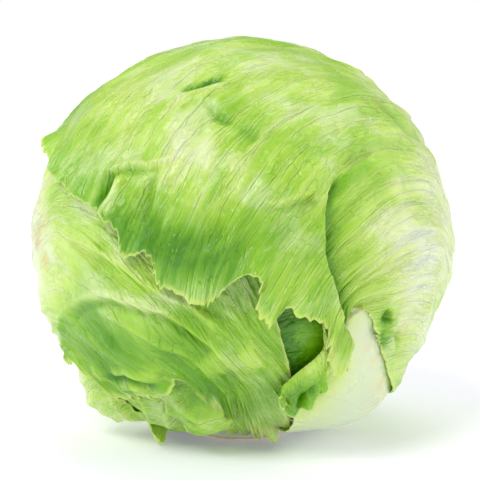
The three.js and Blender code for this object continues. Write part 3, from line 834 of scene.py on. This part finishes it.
# Veins: a thin core, a pale band beside it, a net of veinlets with swellings between and fine streaks.
def makeVeinGroup(look):
    group = bpy.data.node_groups.new("leafVeins", "ShaderNodeTree")
    for name, kind in (("Phase", "Float"), ("Fork", "Float"), ("Gap", "Float"), ("Flow", "Vector")):
        group.interface.new_socket(name, in_out="INPUT", socket_type="NodeSocket" + kind)
    source = group.nodes.new("NodeGroupInput").outputs
    flow = source["Flow"]
    scale, amount = look["wobble"]
    drift = times(group, centred(group, speckle(group, flow, scale, 4.0)), amount)
    shifted = reckon(group, "ADD", source["Phase"], drift)
    away = reckon(group, "ABSOLUTE", reckon(group, "SUBTRACT", shifted, reckon(group, "ROUND", shifted)))
    forked = reckon(group, "ABSOLUTE", reckon(group, "ADD", source["Fork"], drift))
    away = reckon(group, "MINIMUM", away, times(group, forked, 1.25))
    distance = times(group, away, source["Gap"])
    openness = eased(group, source["Gap"], 1.5, 5.0, 0.0, 1.0)
    patches = speckle(group, stretched(group, flow, 1.0, 0.4), look["fadeScale"], 1.0)
    visible = times(group, openness, eased(group, patches, 0.35, 0.55, 0.3, 1.0))
    core = times(group, bandOf(group, distance, *look["core"]), visible)
    band = times(group, bandOf(group, distance, *look["band"]), openness)
    scale, amount = look["netBend"]
    bend = stretched(group, speckle(group, flow, scale, output=1), amount, amount)
    cells = put(group, "ShaderNodeTexVoronoi", {"feature": "DISTANCE_TO_EDGE", "voronoi_dimensions": "2D"},
                Vector=vectorMath(group, "ADD", stretched(group, flow, 1.0, 0.6), bend),
                Scale=look["netScale"], Randomness=1.0).outputs["Distance"]
    zone = eased(group, speckle(group, flow, look["zoneScale"], 1.0), 0.36, 0.56, 0.15, 1.0)
    net = times(group, bandOf(group, cells, *look["net"]), zone)
    pillow = reckon(group, "SUBTRACT", 1.0, bandOf(group, cells, *look["pillow"]))
    pillow = times(group, pillow, zone)
    streaks = speckle(group, stretched(group, flow, 1.0, 0.08), look["streakScale"], 3.0)
    heights = look["heights"]
    height = weighted(group, (core, heights["core"]), (band, heights["band"]), (pillow, heights["pillow"]),
                      (streaks, heights["streaks"]))
    results = {"Core": core, "Band": band, "Net": net, "Streak": streaks, "Height": height}
    for name in results:
        group.interface.new_socket(name, in_out="OUTPUT", socket_type="NodeSocketFloat")
    put(group, "NodeGroupOutput", **results)
    return group


leafLook = {
    "greens": [(0.0, "D9EDC2"), (0.18, "DAF09C"), (0.38, "BFE560"), (0.56, "9CCE2E"), (0.76, "76B20C"),
               (1.0, "4B8C03")],
    # The pale mint is a painted highlight mixed over the lighter greens; the core green darkens the vein
    # lines, partly their own colour and partly painted shade in their grooves.
    "core": "5A9A1C", "margin": "D9EC7C", "paintedSheen": "E3F5C2", "blemish": "D98B3C",
    "patchScale": 60.0, "dropScale": 8.0, "paintedSheenScale": 48.0, "spotScale": 350.0, "dimpleScale": 150.0,
    "tints": {"patches": 0.3, "streaks": 0.13, "bands": -0.12, "net": 0.16},
    "drops": 0.05, "paintedSheenStreaks": 0.25, "paintedSheenShare": 0.4, "marginShare": 0.6, "onRib": 0.15,
    "roughness": [0.24, 0.4], "coat": 0.26, "coatRoughness": 0.25,
    "dimples": [0.6, 0.0025], "veins": [0.7, 0.0008],  # strength and height in m
    "subsurface": [0.35, (0.6, 1.0, 0.25), 0.003],  # weight, radius per colour, scale in m
}


def makeLeafMaterial(look, veins):
    material, tree, shader = newMaterial("crispLeaf")
    flow = put(tree, "ShaderNodeUVMap", {"uv_map": "UVMap"}).outputs[0]
    group = put(tree, "ShaderNodeGroup", {"node_tree": veins}, Phase=readValue(tree, "veinPhase"),
                Fork=readValue(tree, "veinFork"), Gap=readValue(tree, "veinGap"), Flow=flow).outputs
    place = put(tree, "ShaderNodeTexCoord").outputs["Object"]
    quiet = reckon(tree, "SUBTRACT", 1.0, readValue(tree, "ribPale"), clamp=True)
    strength = mapRange(tree, quiet, 0.0, 1.0, look["onRib"], 1.0)

    patches = speckle(tree, place, look["patchScale"], 5.0, flat=False)
    streaks = centred(tree, group["Streak"])
    drops = eased(tree, speckle(tree, stretched(tree, flow, 1.0, 0.5), look["dropScale"], 4.0), 0.4, 0.62,
                  -look["drops"], look["drops"])
    amounts = look["tints"]
    mottle = weighted(tree, (centred(tree, patches), amounts["patches"]), (drops, 1.0),
                      (streaks, amounts["streaks"]), (group["Band"], amounts["bands"]),
                      (group["Net"], amounts["net"]))
    tint = reckon(tree, "ADD", readValue(tree, "leafTint"), times(tree, mottle, strength),
                  clamp=True)
    base = fillRamp(tree, tint, look["greens"])
    # painted highlight: pale mint patches of sheen mixed into the colour, kept to the lighter greens
    cloud = weighted(tree, (speckle(tree, place, look["paintedSheenScale"], 4.0, flat=False), 1.0),
                     (streaks, look["paintedSheenStreaks"]))
    paintedSheen = times(tree, eased(tree, cloud, 0.49, 0.62, 0.0, look["paintedSheenShare"]),
                  bandOf(tree, tint, 0.4, 0.85))
    # partly painted shade: the vein core darkens the colour along the grooves that the bump cuts, over the
    # veins' own deeper green
    core = times(tree, times(tree, group["Core"], mapRange(tree, tint, 0.1, 0.6, 0.2, 0.75)), quiet)
    margin = times(tree, bandOf(tree, readValue(tree, "edgeDistance"), 0.2, 1.3), look["marginShare"])
    spots = reckon(tree, "MULTIPLY", readValue(tree, "blemish"),
                   speckle(tree, place, look["spotScale"], 3.0, flat=False), clamp=True)
    for share, name in ((paintedSheen, "paintedSheen"), (core, "core"), (margin, "margin"), (spots, "blemish")):
        base = mixColours(tree, share, base, colour(look[name]))

    grain = times(tree, speckle(tree, place, look["dimpleScale"], 4.0, flat=False), strength)
    dimples = bumped(tree, *look["dimples"], grain)
    bump = bumped(tree, *look["veins"], times(tree, group["Height"], strength), Normal=dimples)
    weight, radius, scale = look["subsurface"]
    feed(tree, shader, Base_Color=base, Roughness=mapRange(tree, patches, 0.3, 0.7, *look["roughness"]),
         Normal=bump, Subsurface_Weight=weight, Subsurface_Radius=radius, Subsurface_Scale=scale,
         Coat_Weight=mapRange(tree, tint, 0.6, 1.0, look["coat"], 0.0), Coat_Roughness=look["coatRoughness"])
    return material


leafMaterial = makeLeafMaterial(leafLook, makeVeinGroup(veinLook))


def fitOut(piece, node, material):
    piece.data.materials.clear()
    piece.data.materials.append(material)
    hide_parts(node)
    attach(piece, "root")


for number, (node, leaf) in enumerate(wrapperLeaves.items()):
    piece = makeLeaf(node + "_skin", leaf, wrapperSeeds["seed"] + wrapperSeeds["seedStep"] * number)
    fitOut(piece, node, leafMaterial)
    print("made", piece.name, len(piece.data.polygons))

for number in range(headLeaves["count"]):
    node = f"head_leaf_{number + 1:02d}"
    leaf = headLeaf((number * headLeaves["turn"]) % 360, headLeaves["depth"] + number * headLeaves["pitch"])
    piece = makeLeaf(node + "_skin", leaf, headLeaves["seed"] + headLeaves["seedStep"] * number)
    fitOut(piece, node, leafMaterial)
print("made the head leaves")


stemShape = {
    "profile": [[0, 0], [17, 0], [19, 0.8], [20, 2.6], [19.5, 14], [17, 30], [12, 44], [5, 51], [0, 52]],
    "rows": 160, "columns": 181, "rough": 0.35, "side": "E6EED2", "cutRadius": 0.02,
    "cutEdge": [0.0006, 0.002],
    "face": [(0.0, "F0EBCB"), (0.5, "E9E2B4"), (0.66, "CDB67C"), (0.74, "E3DBA6"), (0.92, "D9C88F"),
             (1.0, "C6A56C")],  # colours from the middle of the cut face to its rim
    "grainScale": 260.0, "waviness": 0.004, "bump": [0.5, 0.0008],
    "finish": {"Roughness": 0.55, "Subsurface_Weight": 0.3, "Subsurface_Scale": 0.003}}
heartShape = {
    "depth": 39, "fold": 1.6, "foldSize": 14, "noiseRadius": 45, "rows": 121, "columns": 181,
    "colours": ["F3F2C9", "DCE69A"], "patchScale": 90.0, "bump": [0.6, 0.0015], "roughness": 0.4}


def makeStem(shape):
    profile = np.array(shape["profile"], dtype=float)
    run = np.cumsum(np.r_[0, np.linalg.norm(np.diff(profile, axis=0), axis=-1)])
    at = np.linspace(0, run[-1], shape["rows"])
    radius, height = np.interp(at, run, profile[:, 0]), np.interp(at, run, profile[:, 1])
    turn = np.linspace(0, 2 * math.pi, shape["columns"])
    turn[-1] = 0
    ring = np.stack([np.cos(turn), np.sin(turn)], axis=-1)
    level = np.broadcast_to(height[:, None, None], (len(at), len(turn), 1))
    place = np.concatenate([radius[:, None, None] * ring, level], axis=-1)
    rough = shape["rough"] * noise(place, 3.5, 9) * smooth(0, 3, radius)[:, None]
    place[..., :2] *= (1 - np.abs(rough) / 20)[..., None]
    place[..., 2] += np.abs(rough) * smooth(2, 0, height)[:, None]
    return writeShell("stem_core", place)


def makeHeart(shape):
    elevation = np.linspace(-90, 90, shape["rows"])[:, None]
    azimuth = np.linspace(0, 360, shape["columns"])[None]
    azimuth[0, -1] = 0
    d = direction(*np.broadcast_arrays(azimuth, elevation))
    radius = headRadius(d) - shape["depth"]
    ball = d * shape["noiseRadius"]
    radius += shape["fold"] * (np.abs(noise(ball, shape["foldSize"], 5)) + 0.4 * noise(ball, 5, 6) - 0.8)
    radius[0] = radius[0, 0]
    radius[-1] = radius[-1, 0]
    return writeShell("heart_bud", d * radius[..., None] + headMiddle)


def makeStemMaterial(shape):
    material, tree, shader = newMaterial("cutStem")
    place = put(tree, "ShaderNodeTexCoord").outputs["Object"]
    flat = vectorMath(tree, "MULTIPLY", place, (1.0, 1.0, 0.0))
    away = put(tree, "ShaderNodeVectorMath", {"operation": "LENGTH"}, i0=flat).outputs["Value"]
    grain = speckle(tree, place, shape["grainScale"], 4.0, flat=False)
    away = reckon(tree, "ADD", away, times(tree, centred(tree, grain), shape["waviness"]))
    face = fillRamp(tree, mapRange(tree, away, 0.0, shape["cutRadius"], 0.0, 1.0), shape["face"])
    height = put(tree, "ShaderNodeSeparateXYZ", Vector=place).outputs["Z"]
    base = mixColours(tree, bandOf(tree, height, *shape["cutEdge"]), colour(shape["side"]), face)
    feed(tree, shader, Base_Color=base, Normal=bumped(tree, *shape["bump"], grain), **shape["finish"])
    return material


def makeHeartMaterial(shape):
    material, tree, shader = newMaterial("paleHeart")
    place = put(tree, "ShaderNodeTexCoord").outputs["Object"]
    patches = speckle(tree, place, shape["patchScale"], 4.0, flat=False)
    base = mixColours(tree, mapRange(tree, patches, 0.3, 0.7, 0.0, 1.0), *map(colour, shape["colours"]))
    feed(tree, shader, Base_Color=base, Normal=bumped(tree, *shape["bump"], patches),
         Roughness=shape["roughness"])
    return material


fitOut(makeStem(stemShape), "stem", makeStemMaterial(stemShape))
fitOut(makeHeart(heartShape), "heart", makeHeartMaterial(heartShape))
print("made the stem and the heart")

# White paper that glows a little, so that it stays white around the shadow.
paperLook = {"size": 6, "location": (0, 1, 0), "colour": (0.93, 0.92, 1.0, 1), "roughness": 0.8,
             "glow": (0.9, 0.86, 1.0, 1), "glowStrength": 0.17}
bpy.ops.mesh.primitive_plane_add(size=paperLook["size"], location=paperLook["location"])
floor = bpy.context.active_object
floor.name = "floor"
paper, tree, shader = newMaterial("whitePaper")
feed(tree, shader, Base_Color=paperLook["colour"], Roughness=paperLook["roughness"],
     Emission_Color=paperLook["glow"], Emission_Strength=paperLook["glowStrength"])
floor.data.materials.append(paper)

studio = {
    "ambient": 0.5, "backdrop": 1.0,
    "suns": [("keySun", (-0.5, -0.7, 0.95), 26, 1.4), ("fillSun", (0.9, -0.55, 0.45), 50, 0.3),
             ("topSun", (0.05, 0.3, 1.0), 40, 0.6), ("leftRim", (-1.0, 0.25, 0.35), 50, 0.7),
             ("rightRim", (1.0, 0.2, 0.4), 50, 0.7)],  # name, place, width in degrees, strength
}
world = bpy.data.worlds.new("studio")
bpy.context.scene.world = world
world.use_nodes = True
tree = world.node_tree
seen = put(tree, "ShaderNodeLightPath").outputs["Is Camera Ray"]
feed(tree, tree.nodes["Background"], i0=(1, 1, 1, 1),
     i1=mapRange(tree, seen, 0.0, 1.0, studio["ambient"], studio["backdrop"]))

for name, towards, width, power in studio["suns"]:
    lamp = bpy.data.lights.new(name, "SUN")
    lamp.angle = math.radians(width)
    lamp.energy = power
    item = bpy.data.objects.new(name, lamp)
    bpy.context.collection.objects.link(item)
    item.rotation_euler = Vector(towards).to_track_quat("Z", "Y").to_euler()

view = {"distance": 0.745, "elevation": 8, "lens": 135, "sensor": 36, "aim": 0.0805}
camera = bpy.data.objects.new("camera", bpy.data.cameras.new("camera"))
bpy.context.collection.objects.link(camera)
camera.data.lens = view["lens"]
camera.data.sensor_width = view["sensor"]
tilt = math.radians(view["elevation"])
camera.location = (0, -view["distance"] * math.cos(tilt), view["aim"] + view["distance"] * math.sin(tilt))
camera.rotation_euler = (math.pi / 2 - tilt, 0, 0)
bpy.context.scene.camera = camera
bpy.context.scene.view_settings.view_transform = "Standard"
